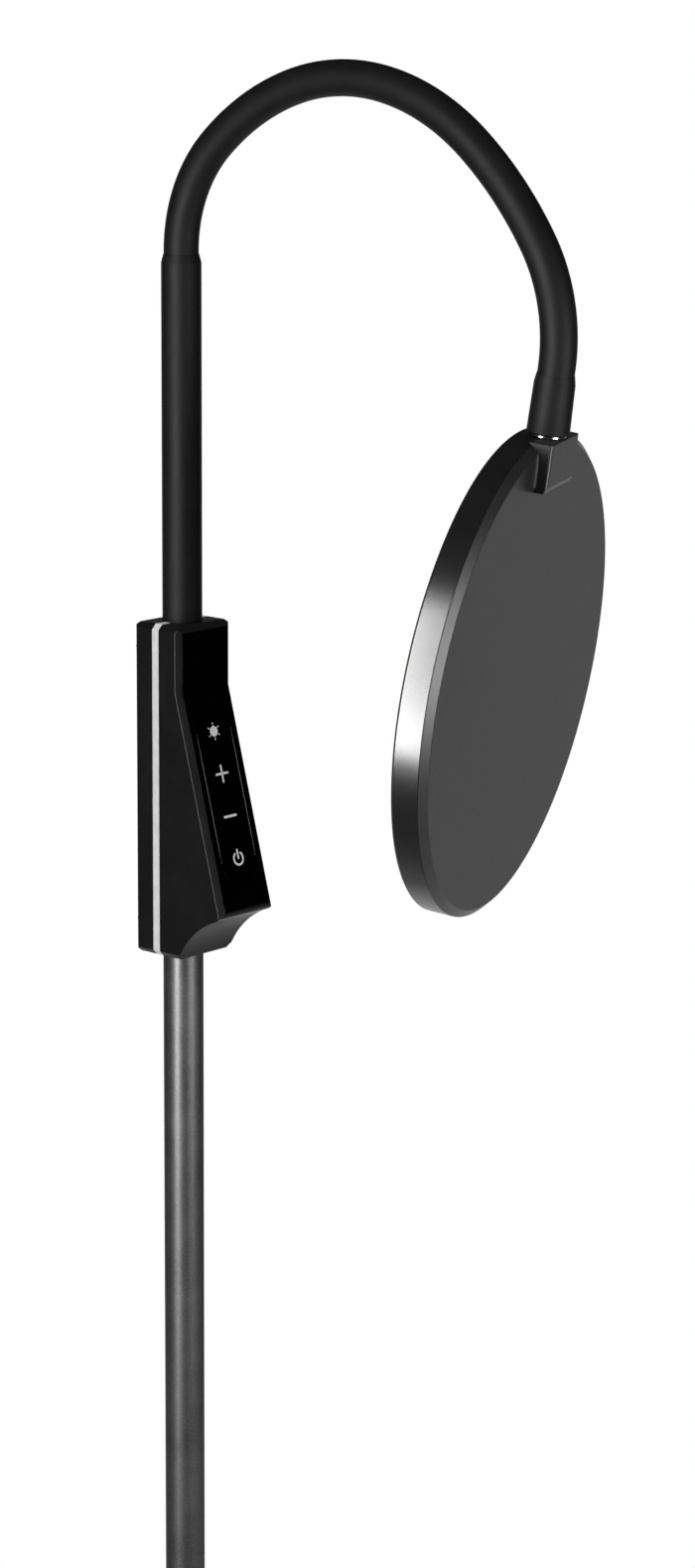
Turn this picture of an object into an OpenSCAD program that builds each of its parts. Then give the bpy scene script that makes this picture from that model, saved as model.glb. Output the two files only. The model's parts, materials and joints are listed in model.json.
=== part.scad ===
// Floor lamp with a weighted round base, a straight pole, a touch control box,
// a bendable neck and a flat round head.
// The origin lies on the floor at the pole's axis, +Z is up and the front of the control box faces -Y.
// The neck leaves the riser upwards, arches over towards -Y and comes down to the head,
// all in the plane X = 0.

/* [Base] */
// Outside diameter of the base cover
base_d = 260; // [220:1:320]
// Height of the cover's flat rim above the floor
base_rim_h = 15.5; // [14:0.5:24]
// Radius of the cover's rounded outer edge
base_round = 5; // [3:0.5:6]
// Rise of the cover from its rim to its middle
base_rise = 3; // [1:0.5:8]
// Sheet thickness of the base cover
cover_t = 1.5; // [1:0.1:2]
// Gap between the floor and the cover's lower edge
cover_lift = 1; // [0.5:0.1:1.5]
// Thickness of the non-slip pad under the weight
pad_t = 2; // [1.5:0.1:3]
// Diameter of the non-slip pad
pad_d = 248; // [180:1:250]
// Length of the power inlet's body
inlet_l = 24; // [16:1:30]
// Width and height of the power inlet's body
inlet_w = 8.6; // [8:0.1:9]
// Diameter of the power socket
socket_d = 5.5; // [4:0.1:6]
// Depth of the power socket
socket_depth = 10; // [6:0.5:12]

/* [Pole] */
// Outside diameter of the pole
pole_d = 22.5; // [20:0.5:24]
// Wall thickness of the pole
pole_wall = 1.5; // [1:0.1:2]
// Height of the joint between the two lengths of pole
pole_joint_z = 564; // [300:1:900]
// Length of the coupler inside the pole's joint
coupler_l = 70; // [40:1:120]
// Outside diameter of the collar at the pole's foot
collar_d = 34; // [30:1:44]
// Height of the collar at the pole's foot
collar_h = 14; // [8:1:30]
// Length of the threaded plug in the pole's foot
plug_l = 30; // [24:1:60]
// Thread diameter of the pole's bolt
bolt_d = 10; // [8:1:12]
// Length of the bolt's shank
bolt_l = 24; // [18:1:26]
// Depth of the recess for the bolt's head
bolt_recess = 7; // [5:0.5:8]

/* [Control box] */
// Height of the box's underside above the floor
box_z = 1105; // [1000:1:1250]
// Width of the box
box_w = 42.7; // [40:0.1:60]
// Height of the box
box_h = 187; // [180:0.5:200]
// Distance from the pole's axis to the box's back
box_back = 17.5; // [16.5:0.1:22]
// Distance from the pole's axis to the box's upper front
box_front = 17.4; // [17:0.1:20]
// Width of the chamfers along the box's edges
box_edge = 3; // [1:0.1:4]
// Distance from the box's top down to the knee in its front
knee_drop = 36.3; // [34:0.1:40]
// Outward slope of the front below the knee, in degrees
front_slope = 15; // [14:0.5:17]
// Radius of the curved hollow under the nose
scoop_r = 51.6; // [49:0.1:54]
// Distance from the pole's axis forward to the hollow's centre
scoop_forward = 62.7; // [61:0.1:65]
// Distance from the box's top down to the hollow's centre
scoop_drop = 208.5; // [206:0.1:211]
// Radius of the rounded nose
nose_r = 6.2; // [2:0.1:8]
// Wall thickness of the box's shells
shell_wall = 2.2; // [1.6:0.1:2.6]
// Reach of the trim band behind the pole's axis
band_back = 2.7; // [1:0.1:4]
// Reach of the trim band in front of the pole's axis
band_front = 2; // [1:0.1:4]
// Depth of the trim band into the box
band_w = 3; // [2.4:0.1:3.2]
// Thickness of the front panel
panel_t = 2; // [1.6:0.1:2.4]
// Thickness of the shell behind the front panel
panel_backing = 1.8; // [1.2:0.1:2.4]
// Width of the touch lens
lens_w = 28; // [20:0.5:30]
// Distance from the knee down the slope to the lens
lens_start = 9.5; // [6:0.5:12]
// Length of the touch lens
lens_l = 100; // [80:1:104]
// Thickness of the touch lens
lens_t = 1; // [0.6:0.1:1.2]
// Width of the control board
board_w = 28; // [22:0.5:30]
// Length of the control board
board_l = 92; // [80:1:94]
// Thickness of the control board
board_t = 1.6; // [1:0.1:2]
// Distance from the knee down the slope to the board
board_start = 16; // [16:0.5:18]
// Air gap between the front shell and the board
board_gap = 2.2; // [1.5:0.1:3]
// Height of the tube clamp
clamp_h = 80; // [60:1:90]
// Distance from the box's top down to the clamp
clamp_drop = 45; // [40:1:55]
// Width of the tube clamp
clamp_w = 26; // [25:0.5:26.5]
// Depth that the pole stands in the clamp
clamp_grip = 25; // [15:1:30]
// Height of the clamp's land between pole and riser
clamp_land = 20; // [5:1:25]
// Shank diameter of the box's screws
screw_d = 3; // [2.5:0.1:3.2]
// Distance from the box's top down to the upper screws
screw_drop_high = 14; // [12:0.5:24]
// Distance from the box's top down to the lower screws
screw_drop_low = 168; // [150:0.5:170]

/* [Riser] */
// Outside diameter of the riser tube
tube_d = 18; // [17:0.5:18.5]
// Wall thickness of the riser tube
tube_wall = 1.5; // [1:0.1:1.8]
// Height of the riser's rubber sleeve above the box
riser_h = 200.6; // [150:0.1:260]
// Outside diameter of the riser's rubber sleeve
sleeve_d = 22; // [20.5:0.5:24]
// Length of the taper at a rubber sleeve's end
taper_l = 4.5; // [3:0.1:8]
// Outside diameter at the small end of the riser sleeve's taper
mouth_d = 19.6; // [19.2:0.1:20]

/* [Neck] */
// Outside diameter of the bendable neck
neck_d = 19; // [18.8:0.1:20]
// Outside diameter of the neck's wound steel core
core_d = 15; // [14:0.1:15.5]
// Diameter of the wire passage through the core
bore_d = 6; // [4:0.5:7]
// Length of one bendable section along the neck
section_l = 32.4; // [31:0.1:36]
// Bend of sections 1 and 2 together, in degrees
bend_1 = 47; // [10:0.1:48]
// Bend of sections 3 and 4 together, in degrees
bend_2 = 25; // [10:0.1:40]
// Bend of sections 5 and 6 together, in degrees
bend_3 = 29.1; // [10:0.1:40]
// Bend of sections 7 and 8 together, in degrees
bend_4 = 27.1; // [10:0.1:40]
// Bend of sections 9 and 10 together, in degrees
bend_5 = 18.6; // [10:0.1:40]
// Bend of sections 11 and 12 together, in degrees
bend_6 = 41.8; // [10:0.1:44]
// Outside diameter of the rubber sleeve at the neck's end, at its upper end
end_d = 21.2; // [20.4:0.1:24]
// Outside diameter of the same rubber sleeve at its foot
end_foot_d = 22.2; // [20.8:0.1:24]
// Length of the rubber sleeve at the neck's end
end_l = 33.8; // [30:0.1:45]
// Distance that a section's cover stays back from its joint
rim_back = 3.5; // [3:0.1:4.5]

/* [Head] */
// Outside diameter of the head
head_d = 255.2; // [240:0.2:270]
// Diameter of the head's flat back
back_d = 246.4; // [230:0.2:252]
// Depth of the back cover's tapered edge
back_taper = 3.8; // [3:0.1:6]
// Depth of the straight rim band
rim_h = 14.7; // [14.4:0.1:20]
// Wall thickness of the rim and the back cover
head_wall = 1.8; // [1.4:0.1:2.2]
// Distance from the neck's axis out to the head's flat back
back_offset = 3.1; // [2.8:0.1:4]
// Gap between the neck's end sleeve and the head's rim
head_gap = 1.4; // [1.1:0.1:3]
// Swivel of the head away from the neck's plane, in degrees
head_turn = 19; // [-30:0.5:30]
// Width of the boss on the head's back
boss_w = 40; // [38:0.5:46]
// Height of the boss above the head's back
boss_h = 7; // [7:0.1:9]
// Distance from the head's centre to the boss's lower end
boss_start = 102; // [98:0.5:104]
// Distance from the head's centre to the boss's upper end
boss_end = 127.4; // [127.2:0.1:128]
// Radius of the boss's rounded long edges
boss_round = 1.5; // [0.5:0.1:2]
// Width of the bezel round the light
bezel_w = 6.8; // [4:0.1:10]
// Thickness of the bezel
bezel_t = 1.6; // [1.2:0.1:2]
// Thickness of the diffuser
diffuser_t = 1.5; // [1.2:0.1:1.8]
// Thickness of the light guide
guide_t = 3; // [2:0.1:3.2]
// Thickness of the reflector sheet
reflector_t = 0.4; // [0.3:0.1:0.6]
// Thickness of the heat spreader
spreader_t = 0.8; // [0.8:0.1:1]
// Number of lights in the ring
led_count = 48; // [24:1:72]
// Number of posts that press the heat spreader down
post_count = 8; // [6:1:10]
// Diameter of the swivel spigot
spigot_d = 10; // [9:0.1:10.2]
// Outside diameter of the spigot's bush
bush_d = 13.6; // [13:0.1:14]
// Length of the block that carries the bush
block_l = 16.5; // [15:0.5:17]

/* [Fits] */
// Radial clearance between tubes, plugs and what they fit in
slip = 0.05; // [0.03:0.01:0.1]
// Clearance round loose parts, lids and screw heads
clear = 0.15; // [0.1:0.01:0.25]
// Gap between a neck joint's ball and its cup
cup_gap = 0.2; // [0.15:0.01:0.3]

/* [Hidden] */
$fn = 96;
hex_sides = 6;
over = 1;
sections = 12;
bends = [bend_1, bend_2, bend_3, bend_4, bend_5, bend_6];
pole_r = pole_d / 2;
sleeve_r = sleeve_d / 2;
pole_bore_r = pole_r - pole_wall;
plug_r = pole_bore_r - slip;
weight_top = base_rim_h - cover_t - clear;
hub_top = base_rim_h + base_rise;
hub_rim = 5;
hub_r = collar_d / 2 + hub_rim;
bolt_r = bolt_d / 2;
bolt_head_r = 0.8 * bolt_d;
bolt_head_h = 0.55 * bolt_d;
inlet_y = base_d / 2 - cover_t;
inlet_z = pad_t + inlet_w / 2;
nozzle_r = inlet_w / 2 - 0.6;

box_top = box_z + box_h;
face_inset = panel_t + panel_backing;
half_w = box_w / 2;
panel_half = half_w - box_edge;
arc_steps = 20;
nose_steps = 6;
board_y = face_inset + board_gap;
standoff_r = 2.2;
standoff_in = 4;
board_foot = 3;
post_r = 3;
post_x = half_w - shell_wall - post_r + 0.5;
post_reach = 10;
screw_r = screw_d / 2;
screw_head_r = screw_r + 1.2;
screw_head_h = 2;
screw_socket_depth = 1.2;
clamp_top = box_top - clamp_drop;
pole_top = clamp_top - clamp_h + clamp_grip;
riser_foot = pole_top + clamp_land;
tube_hole_r = max(pole_r, sleeve_r) + clear;

tube_r = tube_d / 2;
tube_bore_r = tube_r - tube_wall;
sleeve_top = box_top + riser_h;
sleeve_tuck = 5;
sleeve_lip = 4;
sleeve_relief = 1.5;
neck_r = neck_d / 2;
core_r = core_d / 2;
cup_r = neck_r + cup_gap;
ball_step = 0.05;
bore_r = bore_d / 2;
flare_in = 4;
flare_r = bore_r + 2.2;
neck_z = sleeve_top + sleeve_relief;
ferrule_l = 45;
end_r = end_d / 2;
end_foot_r = end_foot_d / 2;
end_bore = 12;

head_r = head_d / 2;
back_r = back_d / 2;
head_h = back_taper + rim_h;
disc_z = end_l + head_gap + head_r;
rim_bore_r = head_r - head_wall;
bezel_r = rim_bore_r - bezel_w;
bezel_top = bezel_t - head_h;
diffuser_top = bezel_top + diffuser_t;
guide_top = diffuser_top + guide_t;
reflector_top = guide_top + reflector_t;
spreader_top = reflector_top + spreader_t;
lid_r = rim_bore_r - 2 * clear;
flange_r = lid_r - spreader_t;
strip_t = 0.6;
strip_r = flange_r - strip_t;
led_w = 3;
led_out = 0.5;
guide_r = strip_r - led_out - 2 * clear;
led_clear = 0.4;
spigot_r = spigot_d / 2;
bush_r = bush_d / 2;
bush_flange_t = 1;
bush_flange_r = bush_r + 0.9;
block_end = boss_end - head_wall - bush_flange_t - 2 * clear;
block_start = block_end - block_l;
block_side = 7.2;
block_half = bush_r + block_side - slip;
pocket_half = block_half + clear;
block_top = boss_h - head_wall - clear;
block_floor = spreader_top + 2 * clear;
ear_t = 2.2;
ear_w = 7;
ear_half = block_half + ear_w;
ear_screw_r = 1.4;
ear_screw_out = 3;
ear_screw_x = block_half + ear_screw_out;
ear_screw_head = 2;
ear_screw_in = 4;
ledge_a = back_r - 2;
ear_l = ledge_a - clear - block_start;
ear_screw_reach = 4;
ring_t = 1;
ring_r = spigot_r + 2.5;
ring_slot_r = spigot_r - 0.8;
ring_a = block_start - clear - ring_t;
spigot_tip = ring_a - 1.5;
pocket_start = spigot_tip - 2 * clear;
spigot_flange_t = 0.9;
post_pitch = 112;

// Two-digit number of a section
function two(n) = n < 10 ? str("0", n) : str(n);

// Bend of one neck section, its far end's heading from straight up, and where that end lies
function bend_of(i) = bends[floor((i - 1) / 2)] / 2;
function arc_r(i) = section_l * 180 / (PI * bend_of(i));
function heading(i) = i == 0 ? 0 : heading(i - 1) + bend_of(i);
function reach(i) = arc_r(i) * sin(bend_of(i));
function drift(i) = arc_r(i) * (1 - cos(bend_of(i)));
function step_y(i) = -reach(i) * sin(heading(i - 1)) - drift(i) * cos(heading(i - 1));
function step_z(i) = reach(i) * cos(heading(i - 1)) - drift(i) * sin(heading(i - 1));
function joint_y(i) = i == 0 ? 0 : joint_y(i - 1) + step_y(i);
function joint_z(i) = i == 0 ? neck_z : joint_z(i - 1) + step_z(i);

// Points of a circle's arc
function arc(centre, r, from, to, steps) =
    [for (i = [0:steps]) let(a = from + (to - from) * i / steps) centre + r * [cos(a), sin(a)]];

// Chamfer left on an outline that is inset by a wall
function inner_edge(inset) = max(0.3, box_edge - inset * (2 - sqrt(2)));

// The box's side view, as distances forward of the pole's axis and down from the box's top
slope_dir = [sin(front_slope), cos(front_slope)];
slope_in = [-cos(front_slope), sin(front_slope)];
scoop_centre = [scoop_forward, scoop_drop];
function knee(inset) = [box_front - inset, knee_drop + inset * tan(front_slope / 2)];
// Distance down the slope to the start of the rounded nose
function nose_start(face, scoop, r) =
    let(q = knee(face) + slope_in * r - scoop_centre, b = q * slope_dir)
    -b - sqrt(b * b - q * q + (scoop + r) * (scoop + r));
function nose_arc(face, scoop, r) =
    let(
        c = knee(face) + slope_dir * nose_start(face, scoop, r) + slope_in * r,
        to_scoop = scoop_centre - c
    )
    arc(c, r, -front_slope, atan2(to_scoop[1], to_scoop[0]), nose_steps);
function scoop_arc(face, scoop, r, bottom) =
    let(
        c = knee(face) + slope_dir * nose_start(face, scoop, r) + slope_in * r,
        to_nose = c - scoop_centre,
        first = atan2(to_nose[1], to_nose[0]),
        last = -180 + asin((scoop_drop - bottom) / scoop)
    )
    arc(scoop_centre, scoop, first, last, arc_steps);
function front_profile(wall, face, back) = concat(
    [[back, wall], [box_front - face - inner_edge(wall), wall], [box_front - face, wall + inner_edge(wall)]],
    [knee(face)],
    nose_arc(face, scoop_r + wall, max(0.5, nose_r - wall)),
    scoop_arc(face, scoop_r + wall, max(0.5, nose_r - wall), box_h - wall),
    [[back, box_h - wall]]
);

// A side view given as distances forward and down, made solid across the box
module across(points, width) {
    rotate([90, 0, 90])
        linear_extrude(width, center = true)
            polygon([for (p = points) [-p[0], box_top - p[1]]]);
}

// Puts the knee of the front face at the origin, with the slope running down -Z and the face towards -Y
module on_slope() {
    translate([0, -box_front, box_top - knee_drop])
        rotate([-front_slope, 0, 0])
            children();
}

// The box's front view, inset by a wall, from y_front to y_back
module front_view(inset, y_front, y_back) {
    x = half_w - inset;
    c = inner_edge(inset);
    low = box_z + inset;
    high = box_top - inset;
    translate([0, y_back, 0])
        rotate([90, 0, 0])
            linear_extrude(y_back - y_front)
                polygon([
                    [c - x, low], [x - c, low], [x, low + c], [x, high - c],
                    [x - c, high], [c - x, high], [-x, high - c], [-x, low + c]
                ]);
}

// A plan view with chamfered front corners: y runs back from the face, and the chamfers run on in front of it
module front_plan(inset, face, c, depth, y_back) {
    x = half_w - inset;
    tip = x - c - over * c / depth;
    polygon([
        [-x, y_back], [-x, face + depth], [-tip, face - over],
        [tip, face - over], [x, face + depth], [x, y_back]
    ]);
}

// Everything of the box in front of the plane y = -back, inset by its walls
module front_block(wall, face, back) {
    c = inner_edge(wall);
    intersection() {
        across(front_profile(wall, face, back), box_w);
        front_view(wall, -2 * box_h, -back);
        union() {
            translate([0, 0, box_z])
                linear_extrude(box_h)
                    front_plan(wall, face - box_front, c, c, over);
            on_slope()
                translate([0, 0, -box_h])
                    linear_extrude(box_h + knee_drop / 2)
                        front_plan(wall, face, c, c * cos(front_slope), box_h / 2);
        }
    }
}

// Everything of the box behind the plane y = front, inset by its walls
module rear_block(wall, front) {
    c = inner_edge(wall);
    back = box_back - wall;
    x = half_w - wall;
    intersection() {
        across(
            [
                [-front, wall], [c - back, wall], [-back, wall + c],
                [-back, box_h - wall - c], [c - back, box_h - wall], [-front, box_h - wall]
            ],
            box_w
        );
        front_view(wall, front, box_back + over);
        translate([0, 0, box_z])
            linear_extrude(box_h)
                polygon([
                    [-x, front], [-x, back - c], [c - x, back],
                    [x - c, back], [x, back - c], [x, front]
                ]);
    }
}

// Copies for the four screws that hold the box's shells together, pointing forwards from the box's back
module at_box_screws() {
    for (side = [-1, 1])
        for (drop = [screw_drop_high, screw_drop_low])
            translate([side * post_x, box_back, box_top - drop])
                rotate([90, 0, 0])
                    children();
}

// The pole and riser pass through the box's ends
module tube_passage() {
    translate([0, 0, box_z - over])
        cylinder(h = box_h + 2 * over, r = tube_hole_r);
}

// The front panel: a plate bent at the knee, grown by a gap for the recess that holds it
module bent_plate(gap) {
    top = box_edge + 2 * clear - gap;
    end = nose_start(0, scoop_r, nose_r) - 4 * clear + gap;
    tip = knee(0) + slope_dir * end;
    across(
        [
            [box_front + over * sign(gap), top], knee(-over * sign(gap)), tip - slope_in * over * sign(gap),
            tip + slope_in * panel_t, knee(panel_t), [box_front - panel_t, top]
        ],
        2 * (panel_half - clear + gap)
    );
}

// The touch lens's outline: a bar with round ends, standing on the slope's face and sunk by its depth
module pill(gap, depth) {
    r = lens_w / 2 + gap;
    on_slope()
        translate([0, depth, 0])
            rotate([90, 0, 0])
                linear_extrude(depth + over * sign(gap))
                    translate([0, -lens_start - lens_l / 2])
                        union() {
                            square([2 * r, lens_l - lens_w], center = true);
                            for (side = [-1, 1])
                                translate([0, side * (lens_l - lens_w) / 2])
                                    circle(r = r);
                        }
}

// The base's section: a flat disc with a rounded edge and a low cone in its middle
module base_section(inset, rise) {
    edge = base_d / 2 - inset;
    top = base_rim_h - inset;
    r = base_round - inset;
    square([edge, top - r]);
    square([edge - r, top]);
    translate([edge - r, top - r])
        circle(r = r);
    if (rise > 0)
        polygon([[0, top], [edge - 3 * base_round, top], [hub_r, top + rise], [0, top + rise]]);
}

module base_pad() {
    color("#26272a")
        cylinder(h = pad_t, d = pad_d);
}

module base_weight() {
    color("#3c3d40")
        difference() {
            rotate_extrude()
                difference() {
                    base_section(cover_t + clear, 0);
                    square([base_d, pad_t]);
                }
            translate([0, 0, pad_t - over])
                cylinder(h = bolt_recess + over, r = bolt_head_r + 1);
            cylinder(h = base_rim_h, r = bolt_r + 2 * clear);
            translate([-inlet_w / 2 - clear, inlet_y - inlet_l - clear, 0])
                cube([inlet_w + 2 * clear, inlet_l + base_round, base_rim_h]);
        }
}

module base_cover() {
    color("#1b1c1e")
        difference() {
            rotate_extrude()
                difference() {
                    base_section(0, base_rise);
                    base_section(cover_t, base_rise);
                    square([base_d, cover_lift]);
                }
            cylinder(h = hub_top + over, r = tube_hole_r);
            translate([0, inlet_y - over, inlet_z])
                rotate([-90, 0, 0])
                    cylinder(h = cover_t + 2 * over, r = nozzle_r + clear);
        }
}

module power_inlet() {
    color("#111214")
        difference() {
            union() {
                translate([-inlet_w / 2, inlet_y - inlet_l, pad_t])
                    cube([inlet_w, inlet_l - clear, inlet_w]);
                translate([0, inlet_y - 2 * over, inlet_z])
                    rotate([-90, 0, 0])
                        cylinder(h = cover_t + 2 * over, r = nozzle_r);
            }
            translate([0, base_d / 2 - socket_depth, inlet_z])
                rotate([-90, 0, 0])
                    difference() {
                        cylinder(h = socket_depth + over, d = socket_d);
                        translate([0, 0, -over])
                            cylinder(h = socket_depth, r = 1);
                    }
        }
}

module pole_bolt() {
    seat = pad_t + bolt_recess;
    color("#9a9ca0")
        difference() {
            union() {
                translate([0, 0, seat - bolt_head_h])
                    cylinder(h = bolt_head_h, r = bolt_head_r);
                translate([0, 0, seat - over])
                    cylinder(h = bolt_l + over, r = bolt_r);
            }
            translate([0, 0, seat - bolt_head_h - over])
                cylinder(h = bolt_head_h / 2 + over, r = bolt_r, $fn = hex_sides);
        }
}

module pole_plug() {
    color("#8d8f93")
        translate([0, 0, weight_top])
            difference() {
                cylinder(h = plug_l, r = plug_r);
                translate([0, 0, -over])
                    cylinder(h = plug_l + 2 * over, r = bolt_r + slip);
            }
}

module pole_collar() {
    r = collar_d / 2;
    bevel = 2;
    inner = pole_r + slip;
    color("#1b1c1e")
        translate([0, 0, hub_top])
            rotate_extrude()
                polygon([
                    [inner, 0], [r, 0], [r, collar_h - bevel],
                    [r - bevel, collar_h], [inner, collar_h]
                ]);
}

// A length of pole between two heights
module pole_length(from, to) {
    difference() {
        translate([0, 0, from])
            cylinder(h = to - from, r = pole_r);
        translate([0, 0, from - over])
            cylinder(h = to - from + 2 * over, r = pole_bore_r);
    }
}

module pole_lower() {
    color("#4b4c4f")
        pole_length(weight_top, pole_joint_z);
}

module pole_upper() {
    color("#4b4c4f")
        pole_length(pole_joint_z, pole_top);
}

module pole_coupler() {
    color("#9a9ca0")
        translate([0, 0, pole_joint_z - coupler_l / 2])
            difference() {
                cylinder(h = coupler_l, r = plug_r);
                translate([0, 0, -over])
                    cylinder(h = coupler_l + 2 * over, r = plug_r - 2 * pole_wall);
            }
}

module tube_clamp() {
    depth = box_back - shell_wall + clamp_w / 2;
    color("#2e3033")
        difference() {
            translate([-clamp_w / 2, -clamp_w / 2, clamp_top - clamp_h])
                cube([clamp_w, depth, clamp_h]);
            translate([0, 0, clamp_top - clamp_h - over])
                cylinder(h = clamp_grip + over, r = pole_r + slip);
            translate([0, 0, pole_top - over])
                cylinder(h = clamp_land + 2 * over, r = tube_bore_r - 1);
            translate([0, 0, riser_foot])
                cylinder(h = clamp_h, r = tube_r + slip);
        }
}

module box_rear_shell() {
    color("#141517")
        difference() {
            union() {
                difference() {
                    rear_block(0, band_back);
                    rear_block(shell_wall, band_back - over);
                }
                at_box_screws()
                    translate([0, 0, shell_wall / 2])
                        cylinder(h = box_back - band_back - shell_wall / 2, r = post_r);
            }
            tube_passage();
            at_box_screws()
                union() {
                    translate([0, 0, -over])
                        cylinder(h = screw_head_h + clear + over, r = screw_head_r + clear);
                    cylinder(h = 2 * box_back, r = screw_r + clear);
                }
        }
}

module box_band() {
    color("#e3e3e1")
        difference() {
            front_view(0, -band_front, band_back);
            front_view(band_w, -band_front - over, band_back + over);
            tube_passage();
        }
}

module box_front_shell() {
    color("#141517")
        difference() {
            union() {
                difference() {
                    front_block(0, 0, band_front);
                    front_block(shell_wall, face_inset, band_front - over);
                }
                at_box_screws()
                    translate([0, 0, box_back + band_front])
                        cylinder(h = post_reach, r = post_r);
                on_slope()
                    for (side = [-1, 1])
                        for (end = [board_start + standoff_in, board_start + board_l - standoff_in])
                            translate([side * (board_w / 2 - board_foot), face_inset - over, -end])
                                rotate([-90, 0, 0])
                                    cylinder(h = board_gap + over, r = standoff_r);
            }
            tube_passage();
            bent_plate(clear);
            at_box_screws()
                cylinder(h = box_back + band_front + post_reach - over, r = screw_r + slip);
        }
}

module front_panel() {
    color("#050506")
        difference() {
            bent_plate(0);
            pill(clear, lens_t);
        }
}

module touch_lens() {
    color("#020203")
        pill(0, lens_t);
}

module control_board() {
    chip = 8;
    plug = [12, 6, 8];
    color("#1f5a35")
        on_slope()
            union() {
                translate([-board_w / 2, board_y, -board_start - board_l])
                    cube([board_w, board_t, board_l]);
                translate([-chip / 2, board_y + board_t - slip, -board_start - 0.7 * board_l])
                    cube([chip, 1.2, chip]);
                translate([-plug[0] / 2, board_y + board_t - slip, -board_start - board_l + board_foot])
                    cube(plug);
            }
}

module box_screws() {
    color("#2a2b2d")
        at_box_screws()
            difference() {
                union() {
                    translate([0, 0, clear])
                        cylinder(h = screw_head_h, r = screw_head_r);
                    translate([0, 0, screw_head_h])
                        cylinder(
                            h = box_back + band_front + post_reach - 3 * over - screw_head_h,
                            r = screw_r
                        );
                }
                cylinder(h = screw_socket_depth + clear, r = screw_r - 0.2, $fn = hex_sides);
            }
}

module riser_tube() {
    color("#6c6e72")
        translate([0, 0, riser_foot])
            difference() {
                cylinder(h = sleeve_top - sleeve_lip - riser_foot, r = tube_r);
                translate([0, 0, -over])
                    cylinder(h = sleeve_top - riser_foot, r = tube_bore_r);
            }
}

module riser_sleeve() {
    foot = box_top - sleeve_tuck;
    inner = tube_r + slip;
    shoulder = sleeve_top - taper_l;
    color("#1d1d1e")
        rotate_extrude()
            polygon([
                [inner, foot], [sleeve_r, foot], [sleeve_r, shoulder],
                [mouth_d / 2, sleeve_top], [inner, sleeve_top]
            ]);
}

// A rod bent along one neck section, from the origin up +Z and over towards -Y
module bent_rod(i, r) {
    translate([0, -arc_r(i), 0])
        rotate([90, 0, 90])
            rotate_extrude(angle = bend_of(i))
                translate([arc_r(i), 0])
                    circle(r = r);
}

// Moves to the far end of a section, which points up +Z there
module at_far_end(i) {
    translate([0, -drift(i), reach(i)])
        rotate([bend_of(i), 0, 0])
            children();
}

// Moves to a joint of the neck, with the neck running up +Z
module at_joint(i) {
    translate([0, joint_y(i), joint_z(i)])
        rotate([heading(i), 0, 0])
            children();
}

// The wire passage widens where it leaves a ball
module flare() {
    translate([0, 0, -flare_in])
        cylinder(h = flare_in + cup_r + over, r1 = bore_r - 0.4, r2 = flare_r);
}

// One section of the wound core: a cup at its near end and a ball at its far end
module neck_core(i) {
    r = core_r - slip;
    color("#5d5f63")
        at_joint(i - 1)
            difference() {
                union() {
                    bent_rod(i, r);
                    at_far_end(i)
                        sphere(r = r - ball_step);
                }
                sphere(r = cup_r);
                bent_rod(i, bore_r);
                at_far_end(i)
                    flare();
            }
}

// One section of the rubber cover, over its core and round the core's ball
module neck_cover(i) {
    color("#1d1d1e")
        at_joint(i - 1)
            difference() {
                union() {
                    bent_rod(i, neck_r);
                    at_far_end(i)
                        sphere(r = neck_r - ball_step);
                }
                translate([0, 0, -over])
                    cylinder(h = rim_back + over, r = 2 * neck_r);
                sphere(r = cup_r);
                bent_rod(i, core_r);
                at_far_end(i)
                    sphere(r = core_r - ball_step);
                at_far_end(i)
                    flare();
            }
}

module neck_base_ferrule() {
    stem_r = tube_bore_r - slip;
    shoulder_r = tube_r - slip;
    lip = sleeve_lip + sleeve_relief;
    collar = sleeve_relief - 0.2;
    color("#5d5f63")
        translate([0, 0, neck_z])
            difference() {
                union() {
                    rotate_extrude()
                        polygon([
                            [0, -ferrule_l], [stem_r, -ferrule_l], [stem_r, -lip], [shoulder_r, -lip],
                            [shoulder_r, -collar], [neck_r, -collar], [neck_r, 0], [0, 0]
                        ]);
                    intersection() {
                        sphere(r = neck_r - ball_step);
                        translate([0, 0, -collar / 2])
                            cylinder(h = neck_d, r = neck_d);
                    }
                }
                translate([0, 0, -ferrule_l - over])
                    cylinder(h = ferrule_l + over, r = bore_r);
                flare();
            }
}

module neck_end_ferrule() {
    color("#5d5f63")
        at_joint(sections)
            difference() {
                cylinder(h = end_l - over, r = core_r - slip);
                sphere(r = cup_r);
                cylinder(h = end_l, r = bore_r);
                translate([0, 0, end_bore])
                    cylinder(h = end_l, r = spigot_r);
            }
}

module end_sleeve() {
    lip_r = mouth_d / 2;
    bevel = 1;
    color("#1d1d1e")
        at_joint(sections)
            difference() {
                rotate_extrude()
                    polygon([
                        [core_r, rim_back], [lip_r, rim_back], [end_r, rim_back + taper_l],
                        [end_foot_r, end_l - bevel], [end_foot_r - bevel, end_l], [core_r, end_l]
                    ]);
                sphere(r = cup_r);
            }
}

// The head's own frame: origin at the neck's last joint, the neck's axis along +Z,
// the head's back towards +Y
module at_head() {
    at_joint(sections)
        rotate([0, 0, -head_turn])
            children();
}

// The disc's frame: origin in the middle of the flat back, +Z out of the back, +Y towards the neck
module at_disc() {
    at_head()
        translate([0, back_offset, disc_z])
            rotate([-90, 0, 0])
                children();
}

// A place on the neck's axis in the disc's frame, at a distance from the disc's centre,
// pointing to that centre
module on_neck_axis(distance) {
    translate([0, distance, -back_offset])
        rotate([90, 0, 0])
            children();
}

// Copies for the four screws of the spigot block, pointing from the light side into the boss
module at_block_screws() {
    for (side = [-1, 1])
        for (end = [block_start + ear_screw_in, block_start + ear_l - ear_screw_in])
            translate([side * ear_screw_x, end, -head_wall - ear_t])
                children();
}

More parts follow.
